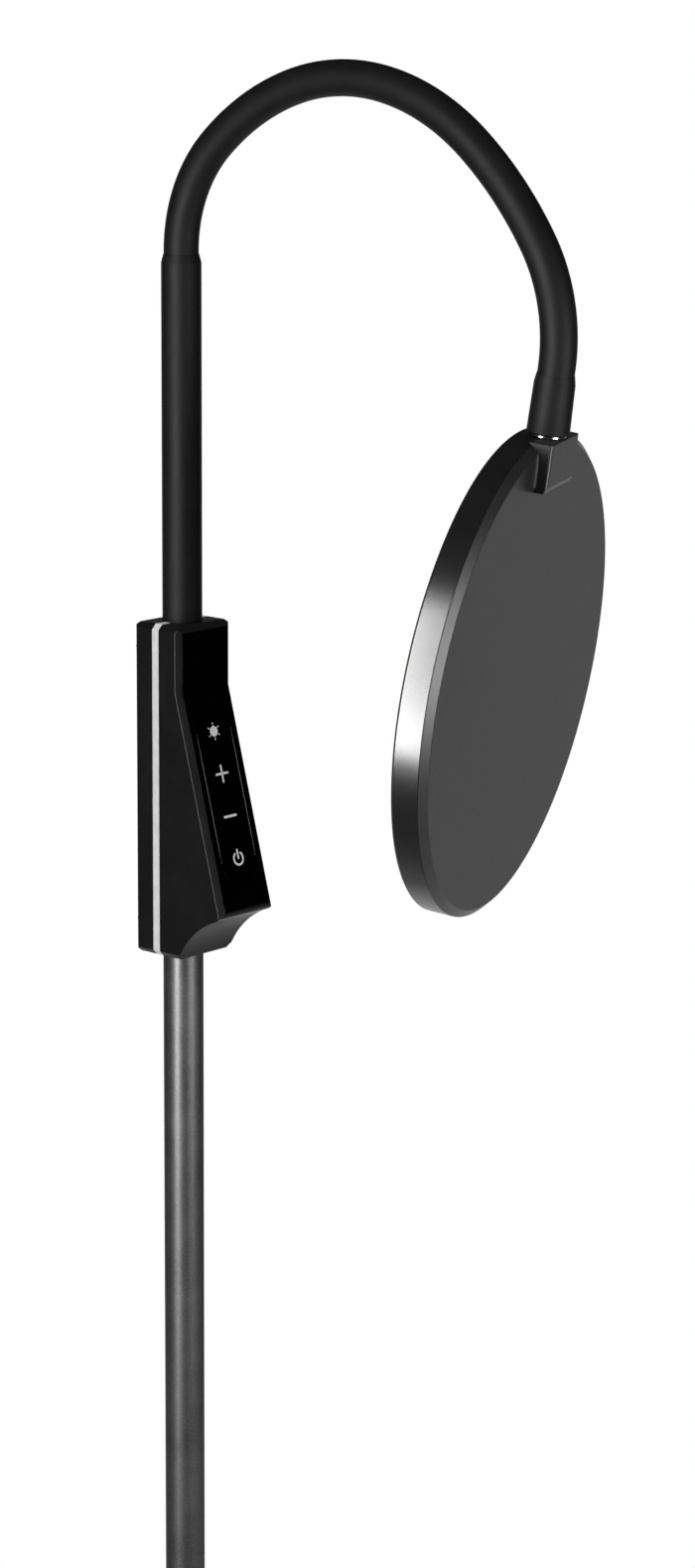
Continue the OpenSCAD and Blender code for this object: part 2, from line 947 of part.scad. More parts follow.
module swivel_spigot() {
    tip = disc_z - spigot_tip;
    ring_z = disc_z - ring_a - ring_t;
    color("#c9cacc")
        at_head()
            difference() {
                union() {
                    translate([0, 0, end_bore])
                        cylinder(h = tip - end_bore, r = spigot_r - slip / 2);
                    translate([0, 0, end_l])
                        cylinder(h = spigot_flange_t, r = neck_r);
                }
                translate([0, 0, end_bore - over])
                    cylinder(h = tip, r = bore_r / 2);
                translate([0, 0, ring_z - clear / 2])
                    difference() {
                        cylinder(h = ring_t + clear, r = spigot_r + over);
                        translate([0, 0, -over])
                            cylinder(h = ring_t + clear + 2 * over, r = ring_slot_r);
                    }
            }
}

module spigot_ring() {
    gap_w = 5;
    color("#8d8f93")
        at_disc()
            on_neck_axis(ring_a + ring_t)
                difference() {
                    cylinder(h = ring_t, r = ring_r);
                    translate([0, 0, -over])
                        cylinder(h = ring_t + 2 * over, r = ring_slot_r + slip);
                    translate([-gap_w / 2, 0, -over])
                        cube([gap_w, ring_r + over, ring_t + 2 * over]);
                }
}

// The boss's cross-section, with rounded long edges, from a depth below the flat back
module boss_section(depth) {
    x = boss_w / 2;
    translate([-x, -depth])
        square([boss_w, depth + boss_h - boss_round]);
    translate([boss_round - x, -depth])
        square([boss_w - 2 * boss_round, depth + boss_h]);
    for (side = [-1, 1])
        translate([side * (x - boss_round), boss_h - boss_round])
            circle(r = boss_round);
}

// The boss: its cross-section run towards the neck and cut to its side view
module boss() {
    ramp_l = 3;
    ramp_h = 2;
    intersection() {
        translate([0, boss_end, 0])
            rotate([90, 0, 0])
                linear_extrude(boss_end - boss_start)
                    boss_section(back_taper);
        rotate([90, 0, 90])
            linear_extrude(boss_w + 2 * over, center = true)
                polygon([
                    [boss_end, -back_taper], [boss_end, boss_h], [boss_start + ramp_l, boss_h],
                    [boss_start, boss_h - ramp_h], [boss_start, -head_wall / 2],
                    [ledge_a, -head_wall / 2], [ledge_a, -back_taper]
                ]);
    }
}

module head_back() {
    slope = (head_r - back_r) / back_taper;
    inner_corner = back_r + slope * head_wall - head_wall;
    boss_angle = asin(ear_half / post_pitch) + 8;
    color("#48494b")
        at_disc()
            difference() {
                union() {
                    rotate_extrude()
                        polygon([
                            [0, 0], [back_r, 0], [head_r, -back_taper], [rim_bore_r, -back_taper],
                            [inner_corner, -head_wall], [0, -head_wall]
                        ]);
                    boss();
                    for (i = [0:post_count - 1])
                        rotate([0, 0, boss_angle + (360 - 2 * boss_angle) * i / (post_count - 1)])
                            translate([0, post_pitch, spreader_top])
                                cylinder(h = -spreader_top - head_wall / 2, r = post_r);
                }
                translate([-pocket_half, pocket_start, -back_taper - over])
                    cube([
                        2 * pocket_half,
                        boss_end - head_wall - pocket_start,
                        back_taper + over + block_top + clear
                    ]);
                on_neck_axis(boss_end + over)
                    cylinder(h = boss_end - block_end + over, r = spigot_r + 2 * clear);
                at_block_screws()
                    cylinder(h = ear_t + ear_screw_reach + 2 * clear, r = ear_screw_r + slip);
            }
}

module head_rim() {
    bevel = 1.2;
    color("#3a3b3d")
        at_disc()
            difference() {
                rotate_extrude()
                    polygon([
                        [rim_bore_r, -back_taper], [head_r, -back_taper],
                        [head_r, bevel - head_h], [head_r - bevel, -head_h],
                        [bezel_r, -head_h], [bezel_r, bezel_top], [rim_bore_r, bezel_top]
                    ]);
                on_neck_axis(head_r + over)
                    cylinder(h = 3 * head_wall, r = spigot_r + 2 * clear);
            }
}

module spigot_block() {
    color("#9a9ca0")
        at_disc()
            difference() {
                union() {
                    translate([-block_half, block_start, block_floor])
                        cube([2 * block_half, block_l, block_top - block_floor]);
                    translate([-ear_half, block_start, -head_wall - ear_t])
                        cube([2 * ear_half, ear_l, ear_t]);
                }
                on_neck_axis(block_end + over)
                    cylinder(h = block_l + 2 * over, r = bush_r);
                at_block_screws()
                    translate([0, 0, -over])
                        cylinder(h = ear_t + 2 * over, r = ear_screw_r + slip);
            }
}

module block_screws() {
    color("#2a2b2d")
        at_disc()
            at_block_screws()
                difference() {
                    union() {
                        translate([0, 0, -ear_screw_head])
                            cylinder(h = ear_screw_head, r = ear_screw_r + 1.2);
                        translate([0, 0, -over])
                            cylinder(h = ear_t + ear_screw_reach + over, r = ear_screw_r);
                    }
                    translate([0, 0, -ear_screw_head - over])
                        cylinder(h = over + screw_socket_depth, r = ear_screw_r - 0.2, $fn = hex_sides);
                }
}

module spigot_bush() {
    color("#b99a5b")
        at_disc()
            on_neck_axis(block_end + bush_flange_t)
                difference() {
                    union() {
                        cylinder(h = bush_flange_t, r = bush_flange_r);
                        cylinder(h = bush_flange_t + block_l, r = bush_r - slip);
                    }
                    translate([0, 0, -over])
                        cylinder(h = block_l + bush_flange_t + 2 * over, r = spigot_r);
                }
}

module heat_spreader() {
    color("#b4b6b9")
        at_disc()
            rotate_extrude()
                polygon([
                    [0, reflector_top], [flange_r, reflector_top], [flange_r, diffuser_top],
                    [lid_r, diffuser_top], [lid_r, spreader_top], [0, spreader_top]
                ]);
}

module led_ring() {
    low = diffuser_top + led_clear;
    color("#e8e2b0")
        at_disc()
            union() {
                translate([0, 0, low])
                    difference() {
                        cylinder(h = reflector_top - low, r = flange_r);
                        translate([0, 0, -over])
                            cylinder(h = reflector_top - low + 2 * over, r = strip_r);
                    }
                for (i = [0:led_count - 1])
                    rotate([0, 0, 360 * i / led_count])
                        translate([strip_r - led_out, -led_w / 2, low])
                            cube([led_out + strip_t / 2, led_w, guide_t / 2]);
            }
}

module reflector_sheet() {
    color("#f2f2f0")
        at_disc()
            translate([0, 0, guide_top])
                cylinder(h = reflector_t, r = guide_r);
}

module light_guide() {
    color("#d9e4ea")
        at_disc()
            translate([0, 0, diffuser_top])
                cylinder(h = guide_t, r = guide_r);
}

module diffuser() {
    color("#f4f4ee")
        at_disc()
            translate([0, 0, bezel_top])
                cylinder(h = diffuser_t, r = lid_r);
}

base_pad();
base_weight();
base_cover();
power_inlet();
pole_bolt();
pole_plug();
pole_collar();
pole_lower();
pole_coupler();
pole_upper();
tube_clamp();
box_rear_shell();
box_band();
box_front_shell();
front_panel();
touch_lens();
control_board();
box_screws();
riser_tube();
riser_sleeve();
neck_base_ferrule();
for (i = [1:sections]) neck_core(i);
for (i = [1:sections]) neck_cover(i);
neck_end_ferrule();
end_sleeve();
swivel_spigot();
spigot_ring();
head_back();
head_rim();
spigot_block();
block_screws();
spigot_bush();
heat_spreader();
led_ring();
reflector_sheet();
light_guide();
diffuser();
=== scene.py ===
import json
import math

import bmesh
import bpy
from mathutils import Matrix, Vector
from mathutils.bvhtree import BVHTree

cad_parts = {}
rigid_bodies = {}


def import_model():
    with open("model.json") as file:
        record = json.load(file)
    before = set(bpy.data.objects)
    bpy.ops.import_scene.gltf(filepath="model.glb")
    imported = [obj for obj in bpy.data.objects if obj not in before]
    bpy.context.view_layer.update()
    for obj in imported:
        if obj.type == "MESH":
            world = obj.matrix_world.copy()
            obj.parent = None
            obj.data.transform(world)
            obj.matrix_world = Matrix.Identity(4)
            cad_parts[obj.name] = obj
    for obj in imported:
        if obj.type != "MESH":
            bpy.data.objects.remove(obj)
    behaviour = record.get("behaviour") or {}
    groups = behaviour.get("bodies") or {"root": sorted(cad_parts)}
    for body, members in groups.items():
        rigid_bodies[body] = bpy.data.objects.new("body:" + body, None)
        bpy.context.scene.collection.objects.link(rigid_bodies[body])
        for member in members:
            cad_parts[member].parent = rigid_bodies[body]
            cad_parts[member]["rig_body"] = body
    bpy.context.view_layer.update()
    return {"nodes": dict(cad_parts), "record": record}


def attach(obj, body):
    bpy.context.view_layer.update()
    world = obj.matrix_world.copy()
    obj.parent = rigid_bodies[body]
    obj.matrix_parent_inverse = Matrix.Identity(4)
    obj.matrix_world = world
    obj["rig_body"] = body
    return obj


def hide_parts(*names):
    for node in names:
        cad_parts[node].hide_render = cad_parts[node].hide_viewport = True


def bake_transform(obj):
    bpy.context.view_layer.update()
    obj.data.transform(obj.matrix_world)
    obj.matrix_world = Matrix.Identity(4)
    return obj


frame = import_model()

nodes = frame["nodes"]
mm = 0.001


def addObject(name, data):
    made = bpy.data.objects.new(name, data)
    bpy.context.scene.collection.objects.link(made)
    return made


def finishMesh(bm, name, creaseOver=None):  # smooth, with creases over this many degrees, or else flat
    mesh = bpy.data.meshes.new(name)
    bm.to_mesh(mesh)
    bm.free()
    if creaseOver is not None:
        mesh.shade_smooth()
        mesh.set_sharp_from_angle(angle=math.radians(creaseOver))
    return mesh


def joinRings(bm, first, second):
    for i in range(len(first)):
        j = (i + 1) % len(first)
        bm.faces.new((first[i], first[j], second[j], second[i]))


def addRamp(tree, value, start, end, low=0.0, high=1.0):  # a smooth step from low at start to high at end
    step = tree.nodes.new("ShaderNodeMapRange")
    step.interpolation_type = "SMOOTHSTEP"
    step.inputs["From Min"].default_value, step.inputs["From Max"].default_value = start, end
    step.inputs["To Min"].default_value, step.inputs["To Max"].default_value = low, high
    tree.links.new(value, step.inputs["Value"])
    return step.outputs["Result"]


def addMix(tree, factor, first, second):
    mixed = tree.nodes.new("ShaderNodeMixShader")
    tree.links.new(factor, mixed.inputs["Fac"])
    tree.links.new(first, mixed.inputs[1])
    tree.links.new(second, mixed.inputs[2])
    return mixed.outputs[0]


# camera

cameraView = {
    "target": (60.25, -68.75, 1199.95),  # mm
    "azimuth": -48.75,
    "elevation": 12.34,
    "roll": 0.31,
    "distance": 2316.06,
    "pixelsToFocus": 4200.3,  # focal length, in pixels of the photograph
    "pixelsHigh": 1579,
    "sensorHeight": 24,       # mm
    "nearest": 0.05,          # m, nothing nearer than this is shown
}


def placeCamera(view):
    a, e = math.radians(view["azimuth"]), math.radians(view["elevation"])
    back = Vector((math.sin(a) * math.cos(e), -math.cos(a) * math.cos(e), math.sin(e)))
    right = Vector((math.cos(a), math.sin(a), 0))
    up = back.cross(right)
    r = math.radians(view["roll"])
    turnedRight = math.cos(r) * right + math.sin(r) * up
    turnedUp = back.cross(turnedRight)
    lens = bpy.data.cameras.new("photoCamera")
    lens.sensor_fit = "VERTICAL"
    lens.sensor_height = view["sensorHeight"]
    lens.lens = lens.sensor_height * view["pixelsToFocus"] / view["pixelsHigh"]
    lens.clip_start = view["nearest"]
    camera = addObject("photoCamera", lens)
    turn = Matrix((turnedRight, turnedUp, back)).transposed().to_4x4()
    camera.matrix_world = Matrix.Translation((Vector(view["target"]) + back * view["distance"]) * mm) @ turn
    bpy.context.scene.camera = camera


placeCamera(cameraView)
print("camera placed")


# studio

studioWorld = {
    "colour": (1, 1, 1, 1),
    "ambient": 0.36,              # soft light from all round
    "room": 0.02,                 # what gloss sees of the dark side of the room
    "backdrop": 1.0,              # white sheet behind the lamp
    "backdropSide": (0.75, 0.66, 0.0),
    "backdropEdge": (0.55, 0.95),
    "backdropTop": (-0.05, 0.2),  # the sheet ends near the horizon
}


def buildWorld(look):
    world = bpy.data.worlds.new("studioWorld")
    bpy.context.scene.world = world
    world.use_nodes = True
    tree = world.node_tree
    tree.nodes.clear()
    link = tree.links.new
    path = tree.nodes.new("ShaderNodeLightPath")
    direction = tree.nodes.new("ShaderNodeTexCoord")

    def light(strength):
        background = tree.nodes.new("ShaderNodeBackground")
        background.inputs["Color"].default_value = look["colour"]
        background.inputs["Strength"].default_value = strength
        return background.outputs[0]

    def combine(operation, first, second):
        maths = tree.nodes.new("ShaderNodeMath")
        maths.operation = operation
        link(first, maths.inputs[0])
        link(second, maths.inputs[1])
        return maths.outputs[0]

    towards = tree.nodes.new("ShaderNodeVectorMath")
    towards.operation = "DOT_PRODUCT"
    towards.inputs[1].default_value = look["backdropSide"]
    link(direction.outputs["Generated"], towards.inputs[0])
    height = tree.nodes.new("ShaderNodeSeparateXYZ")
    link(direction.outputs["Generated"], height.inputs[0])
    sheet = addRamp(tree, towards.outputs["Value"], *look["backdropEdge"])
    below = addRamp(tree, height.outputs["Z"], *look["backdropTop"], low=1, high=0)
    white = combine("MULTIPLY", sheet, below)
    gloss = combine("MAXIMUM", path.outputs["Is Glossy Ray"], path.outputs["Is Transmission Ray"])
    mirrored = addMix(tree, white, light(look["room"]), light(look["backdrop"]))
    lit = addMix(tree, gloss, light(look["ambient"]), mirrored)
    shown = addMix(tree, path.outputs["Is Camera Ray"], lit, light(look["backdrop"]))
    output = tree.nodes.new("ShaderNodeOutputWorld")
    link(shown, output.inputs["Surface"])


buildWorld(studioWorld)

studioLamps = {
    "tallStrip": {"at": (-1.21, -0.15, 1.45), "aim": (0, -0.15, 1.45), "size": (0.30, 1.54), "watts": 56,
                  "for": "gloss"},
    "frontStrip": {"at": (0.0, -1.3, 1.2), "aim": (0.0, 0, 1.2), "size": (0.6, 0.76), "watts": 19,
                   "for": "gloss"},
    "keySoftbox": {"at": (-1.7, -0.5, 1.6), "aim": (0, -0.1, 1.1), "size": (0.8, 1.4), "watts": 17,
                   "for": "matte"},
    "frontFill": {"at": (-0.3, -2.3, 1.4), "aim": (0, 0, 1.1), "size": (0.9, 1.2), "watts": 10,
                  "for": "matte"},
    "overhead": {"at": (0.3, 0.2, 3.0), "aim": (0, -0.1, 1.1), "size": (1.6, 1.6), "watts": 14,
                 "for": "matte"},
}


def hangLamp(name, lamp):
    data = bpy.data.lights.new(name, "AREA")
    data.shape = "RECTANGLE"
    data.size, data.size_y = lamp["size"]
    data.energy = lamp["watts"]
    holder = addObject(name, data)
    holder.location = lamp["at"]
    aim = Vector(lamp["aim"]) - Vector(lamp["at"])
    holder.rotation_euler = aim.to_track_quat("-Z", "Y").to_euler()
    holder.visible_camera = False
    holder.visible_diffuse = lamp["for"] == "matte"
    holder.visible_glossy = lamp["for"] == "gloss"
    holder.visible_transmission = lamp["for"] == "gloss"


for name, lamp in studioLamps.items():
    hangLamp(name, lamp)

studioFloor = {
    "radius": 3.2,              # m
    "fade": (0.7, 1.7),         # m from the pole, where the paper runs out into the white behind
    "glossFade": (1.9, 3.1),    # the same, as gloss sees it
    "colour": (0.86, 0.86, 0.86, 1),
    "glossSide": (0.96, 0.28, 0),
    "glossFrom": (-0.7, 0.12),  # m along that side, and how bright the paper's painted glow is there, as gloss sees it
    "glossTo": (0.9, 0.75),
    "rings": 32,
    "sides": 96,
}


def floorMesh(look):
    bm = bmesh.new()
    middle = bm.verts.new((0, 0, 0))
    loops = []
    for k in range(1, look["rings"] + 1):
        r = look["radius"] * k / look["rings"]
        turn = [2 * math.pi * i / look["sides"] for i in range(look["sides"])]
        loops.append([bm.verts.new((r * math.cos(t), r * math.sin(t), 0)) for t in turn])
    for i in range(look["sides"]):
        j = (i + 1) % look["sides"]
        bm.faces.new((middle, loops[0][i], loops[0][j]))
        for inner, outer in zip(loops, loops[1:]):
            bm.faces.new((inner[i], outer[i], outer[j], inner[j]))
    return finishMesh(bm, "studioFloor")


def layFloor(look):
    mesh = floorMesh(look)
    floor = addObject("studioFloor", mesh)
    paper = bpy.data.materials.new("studioPaper")
    paper.use_nodes = True
    tree = paper.node_tree
    tree.nodes.clear()
    link = tree.links.new
    place = tree.nodes.new("ShaderNodeTexCoord")
    path = tree.nodes.new("ShaderNodeLightPath")
    away = tree.nodes.new("ShaderNodeVectorMath")
    away.operation = "LENGTH"
    link(place.outputs["Object"], away.inputs[0])
    side = tree.nodes.new("ShaderNodeVectorMath")
    side.operation = "DOT_PRODUCT"
    side.inputs[1].default_value = look["glossSide"]
    link(place.outputs["Object"], side.inputs[0])
    matte = tree.nodes.new("ShaderNodeBsdfDiffuse")
    matte.inputs["Color"].default_value = look["colour"]
    clear = tree.nodes.new("ShaderNodeBsdfTransparent")
    # painted light: for glossy rays the paper glows, brighter towards glossSide and dimmer on the far side,
    # standing in for the light that falls on it
    glow = tree.nodes.new("ShaderNodeEmission")
    start, end = look["glossFrom"], look["glossTo"]
    link(addRamp(tree, side.outputs["Value"], start[0], end[0], start[1], end[1]), glow.inputs["Strength"])
    fade = addRamp(tree, away.outputs["Value"], *look["fade"])
    glossFade = addRamp(tree, away.outputs["Value"], *look["glossFade"])
    seen = addMix(tree, fade, matte.outputs[0], clear.outputs[0])
    mirrored = addMix(tree, glossFade, glow.outputs[0], clear.outputs[0])
    output = tree.nodes.new("ShaderNodeOutputMaterial")
    link(addMix(tree, path.outputs["Is Glossy Ray"], seen, mirrored), output.inputs["Surface"])
    mesh.materials.append(paper)


layFloor(studioFloor)
bpy.context.scene.view_settings.view_transform = "Standard"
print("studio lit")


# finishes

surface = {                     # what all the finishes share
    "toneStops": (0.35, 0.65),  # of the noise, between which the dark tone turns into the light one
    "toneDetail": 4,
    "roughStops": (0.3, 0.7),
    "grainDetail": 3,
    "grainDepth": 0.05,         # mm
    "black": (0, 0, 0, 1),
    "white": (1, 1, 1, 1),
    "stretch": (1, 1, 1),       # this and the rest, where a finish doesn't set its own
    "metal": 0,
    "specular": 0.5,
    "edgeTone": (1, 1, 1),
}


def addNoise(tree, where, scale, detail):
    noise = tree.nodes.new("ShaderNodeTexNoise")
    noise.inputs["Scale"].default_value = scale
    noise.inputs["Detail"].default_value = detail
    tree.links.new(where, noise.inputs["Vector"])
    return noise.outputs["Fac"]


def addTones(tree, value, stops, colours):
    ramp = tree.nodes.new("ShaderNodeValToRGB")
    for element, stop, colour in zip(ramp.color_ramp.elements, stops, colours):
        element.position = stop
        element.color = colour
    tree.links.new(value, ramp.inputs["Fac"])
    return ramp.outputs["Color"]


def addFlecks(tree, where, look, colour):  # single bright grains in the paint
    grains = tree.nodes.new("ShaderNodeTexVoronoi")
    grains.inputs["Scale"].default_value = look["scale"]
    tree.links.new(where, grains.inputs["Vector"])
    split = tree.nodes.new("ShaderNodeSeparateColor")
    tree.links.new(grains.outputs["Color"], split.inputs["Color"])
    bright = addTones(tree, split.outputs["Red"], (look["from"], 1), (surface["black"], surface["white"]))
    add = tree.nodes.new("ShaderNodeMixRGB")
    add.inputs["Color2"].default_value = (*look["colour"], 1)
    tree.links.new(bright, add.inputs["Fac"])
    tree.links.new(colour, add.inputs["Color1"])
    return add.outputs["Color"]


def makeFinish(name, own):  # tone, gloss and grain all vary over the surface
    look = {**surface, **own}
    material = bpy.data.materials.new(name)
    material.use_nodes = True
    tree = material.node_tree
    link = tree.links.new
    shader = tree.nodes["Principled BSDF"]
    place = tree.nodes.new("ShaderNodeTexCoord")
    stretch = tree.nodes.new("ShaderNodeMapping")
    stretch.inputs["Scale"].default_value = look["stretch"]
    link(place.outputs["Object"], stretch.inputs["Vector"])
    where = stretch.outputs["Vector"]

    cloud = addNoise(tree, where, look["cloud"], look["toneDetail"])
    colour = addTones(tree, cloud, look["toneStops"], ((*look["dark"], 1), (*look["light"], 1)))
    if "fleck" in look:
        colour = addFlecks(tree, where, look["fleck"], colour)
    link(colour, shader.inputs["Base Color"])

    gloss = tree.nodes.new("ShaderNodeMapRange")
    gloss.inputs["From Min"].default_value, gloss.inputs["From Max"].default_value = look["roughStops"]
    gloss.inputs["To Min"].default_value, gloss.inputs["To Max"].default_value = look["rough"]
    link(cloud, gloss.inputs["Value"])
    link(gloss.outputs["Result"], shader.inputs["Roughness"])

    bump = tree.nodes.new("ShaderNodeBump")
    bump.inputs["Strength"].default_value = look["bump"]
    bump.inputs["Distance"].default_value = look["grainDepth"] * mm
    link(addNoise(tree, where, look["grain"], look["grainDetail"]), bump.inputs["Height"])
    link(bump.outputs["Normal"], shader.inputs["Normal"])

    shader.inputs["Metallic"].default_value = look["metal"]
    shader.inputs["Specular IOR Level"].default_value = look["specular"]
    shader.inputs["Specular Tint"].default_value = (*look["edgeTone"], 1)
    return material


def grey(value):
    return (value, value, value)


finishes = {
    "pad_rubber": {"dark": grey(0.018), "light": grey(0.026), "cloud": 60, "rough": (0.75, 0.85),
                   "grain": 900, "bump": 0.5, "specular": 0.2},
    "cast_weight": {"dark": grey(0.05), "light": grey(0.08), "cloud": 90, "rough": (0.6, 0.8),
                    "grain": 500, "bump": 0.7, "metal": 0.8},
    "base_paint": {"dark": grey(0.010), "light": grey(0.014), "cloud": 45, "rough": (0.38, 0.46),
                   "grain": 1400, "bump": 0.25, "specular": 0.42,
                   "fleck": {"scale": 1600, "from": 0.93, "colour": grey(0.05)}},
    "dark_plastic": {"dark": grey(0.012), "light": grey(0.018), "cloud": 120, "rough": (0.45, 0.55),
                     "grain": 1500, "bump": 0.3, "specular": 0.35},
    "zinc_steel": {"dark": (0.50, 0.50, 0.48), "light": (0.62, 0.62, 0.60), "cloud": 150, "metal": 1,
                   "rough": (0.28, 0.42), "grain": 700, "bump": 0.2},
    "pole_paint": {"dark": grey(0.070), "light": grey(0.082), "cloud": 50, "rough": (0.38, 0.44),
                   "grain": 2200, "bump": 0.35, "metal": 0.75, "specular": 0.4, "edgeTone": grey(0.35),
                   "fleck": {"scale": 3600, "from": 0.72, "colour": grey(0.14)}},
    "clamp_alloy": {"dark": grey(0.26), "light": grey(0.34), "cloud": 200, "rough": (0.45, 0.6),
                    "grain": 800, "bump": 0.5, "metal": 0.9},
    "box_plastic": {"dark": grey(0.0075), "light": grey(0.0090), "cloud": 70, "rough": (0.34, 0.38),
                    "grain": 1700, "bump": 0.3, "specular": 0.12},
    "trim_silver": {"dark": grey(0.72), "light": grey(0.78), "cloud": 260, "rough": (0.35, 0.5),
                    "grain": 1600, "bump": 0.15, "specular": 0.5},
    "gloss_black": {"dark": grey(0.0003), "light": grey(0.0005), "cloud": 30, "rough": (0.08, 0.12),
                    "grain": 300, "bump": 0.02, "specular": 0.05},
    "lens_black": {"dark": grey(0.0002), "light": grey(0.0003), "cloud": 30, "rough": (0.05, 0.08),
                   "grain": 300, "bump": 0.01, "specular": 0.05},
    "board_green": {"dark": (0.010, 0.08, 0.03), "light": (0.016, 0.11, 0.04), "cloud": 400,
                    "rough": (0.3, 0.4), "grain": 900, "bump": 0.3},
    "black_screw": {"dark": grey(0.02), "light": grey(0.035), "cloud": 400, "rough": (0.3, 0.45),
                    "grain": 1500, "bump": 0.2, "metal": 0.8},
    "tube_steel": {"dark": grey(0.40), "light": grey(0.5), "cloud": 120, "rough": (0.25, 0.35),
                   "grain": 900, "bump": 0.15, "metal": 1, "stretch": (1, 1, 0.1)},
    "neck_rubber": {"dark": grey(0.0046), "light": grey(0.0058), "cloud": 55, "rough": (0.54, 0.60),
                    "grain": 1300, "bump": 0.35, "specular": 0.10},
    "core_steel": {"dark": grey(0.35), "light": grey(0.45), "cloud": 200, "rough": (0.3, 0.45),
                   "grain": 700, "bump": 0.3, "metal": 1},
    "nickel": {"dark": (0.46, 0.455, 0.44), "light": (0.53, 0.525, 0.51), "cloud": 200, "metal": 1,
               "rough": (0.12, 0.17), "grain": 900, "bump": 0.03},
    "head_plastic": {"dark": grey(0.016), "light": grey(0.018), "cloud": 60, "rough": (0.39, 0.41),
                     "grain": 1700, "bump": 0.22, "specular": 0.42},
    "rim_plastic": {"dark": grey(0.007), "light": grey(0.008), "cloud": 40, "rough": (0.25, 0.28),
                    "grain": 1700, "bump": 0.05, "specular": 0.50},
    "bush_brass": {"dark": (0.62, 0.42, 0.16), "light": (0.72, 0.50, 0.20), "cloud": 200, "metal": 1,
                   "rough": (0.3, 0.4), "grain": 900, "bump": 0.2},
    "light_strip": {"dark": (0.72, 0.70, 0.60), "light": (0.80, 0.78, 0.68), "cloud": 300,
                    "rough": (0.4, 0.5), "grain": 900, "bump": 0.2},
    "reflector_white": {"dark": grey(0.84), "light": grey(0.88), "cloud": 80, "rough": (0.5, 0.6),
                        "grain": 900, "bump": 0.1},
    "guide_clear": {"dark": grey(0.80), "light": grey(0.85), "cloud": 80, "rough": (0.08, 0.14),
                    "grain": 500, "bump": 0.05},
    "diffuser_white": {"dark": grey(0.78), "light": grey(0.82), "cloud": 40, "rough": (0.45, 0.55),
                       "grain": 1600, "bump": 0.2, "specular": 0.4},
}
madeFinishes = {name: makeFinish(name, look) for name, look in finishes.items()}

slotOf = {part["node"]: part["material_slot"] for part in frame["record"]["subparts"]}
for name, node in nodes.items():
    node.data.materials.clear()
    node.data.materials.append(madeFinishes[slotOf[name]])
print("finishes:", len(madeFinishes))


def secondFinish(mesh, finish, chosen):  # for the chosen faces of a mesh
    mesh.materials.append(madeFinishes[finish])
    for face in mesh.polygons:
        face.material_index = int(chosen(face))


collarSkin = {"above": 1488}  # mm, the collar that closes the gap under the neck's skin
secondFinish(
    nodes["neck_base_ferrule"].data, "neck_rubber", lambda face: face.center.z > collarSkin["above"] * mm
)


# pieces with softened edges, made over the frame's own solids

softening = {
    "weld": 0.004,      # mm
    "flat": 0.3,        # degrees, faces that turn less than this are one
    "sharp": 25,        # degrees, edges that turn more than this are softened
    "creaseOver": 30,   # degrees
    "lift": 0.05,       # mm, where the test for a hidden edge starts
    "round": 0.5,       # a quarter circle
    "steps": 2,
    "shortest": 0,      # mm
}


def edgeShows(tree, edge):  # a ray outwards from a convex edge meets nothing
    outward = sum((face.normal for face in edge.link_faces), Vector()).normalized()
    middle = (edge.verts[0].co + edge.verts[1].co) / 2
    return tree.ray_cast(middle + outward * softening["lift"] * mm, outward)[0] is None


def softenEdges(nodeName, own):
    look = {**softening, **own}
    source = nodes[nodeName]
    bm = bmesh.new()
    bm.from_mesh(source.data)
    bmesh.ops.remove_doubles(bm, verts=bm.verts, dist=look["weld"] * mm)
    bmesh.ops.dissolve_limit(bm, angle_limit=math.radians(look["flat"]), verts=bm.verts, edges=bm.edges)
    bm.normal_update()
    tree = BVHTree.FromBMesh(bm)
    sharp = math.radians(look["sharp"])
    chosen = [
        edge for edge in bm.edges
        if len(edge.link_faces) == 2 and edge.is_convex
        and edge.calc_length() > look["shortest"] * mm
        and edge.calc_face_angle(0) > sharp and edgeShows(tree, edge)
    ]
    bmesh.ops.bevel(
        bm, geom=chosen, offset=look["radius"] * mm, segments=look["steps"],
        profile=look["round"], affect="EDGES", clamp_overlap=False, loop_slide=True,
    )
    mesh = finishMesh(bm, look["name"], look["creaseOver"])
    mesh.materials.append(madeFinishes[slotOf[nodeName]])
    piece = addObject(look["name"], mesh)
    even = piece.modifiers.new("evenShading", "WEIGHTED_NORMAL")
    even.keep_sharp = True
    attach(piece, source["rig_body"])
    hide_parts(nodeName)
    return piece


softened = {
    "box_front_shell": {"name": "frontShell", "radius": 0.35, "steps": 3},
    "box_rear_shell": {"name": "rearShell", "radius": 0.35, "shortest": 2},
    "box_band": {"name": "trimBand", "radius": 0.12},
    "front_panel": {"name": "glossPanel", "radius": 0.2},
    "touch_lens": {"name": "touchLens", "radius": 0.15},
    "base_cover": {"name": "baseCover", "radius": 0.3},
    "pole_collar": {"name": "poleCollar", "radius": 0.3},
    "head_rim": {"name": "headRim", "radius": 0.25},
    "head_back": {"name": "headBack", "radius": 0.3},
}
softPieces = {name: softenEdges(name, look) for name, look in softened.items()}
print("softened pieces:", len(softPieces))

# the gloss of the panel runs on round the nose below it

noseGloss = {
    "halfWidth": 18.2,        # mm
    "above": 1132.2,
    "under": 1140.2,
    "facing": -0.25,          # faces turned further forwards than this
}


def onNose(face):
    x, _, z = face.center / mm
    inside = abs(x) < noseGloss["halfWidth"] and noseGloss["above"] < z < noseGloss["under"]
    return inside and face.normal.y < noseGloss["facing"]


secondFinish(softPieces["box_front_shell"].data, "gloss_black", onNose)


# the end of the boss under the neck lies in deep shade, painted as a dark rough rubber finish on its upward
# faces and on the spigot's

headUpward = Vector((0.0, -0.14954, 0.98876))  # along the head's tilted back

bossEndShade = {
    "facing": 0.3,            # faces turned further upwards than this
    "above": 1404,            # mm
    "halfWidth": 19,
}


def inBossEndShade(face):
    x, _, z = face.center / mm
    upwards = face.normal.dot(headUpward) > bossEndShade["facing"]
    return upwards and z > bossEndShade["above"] and abs(x) < bossEndShade["halfWidth"]
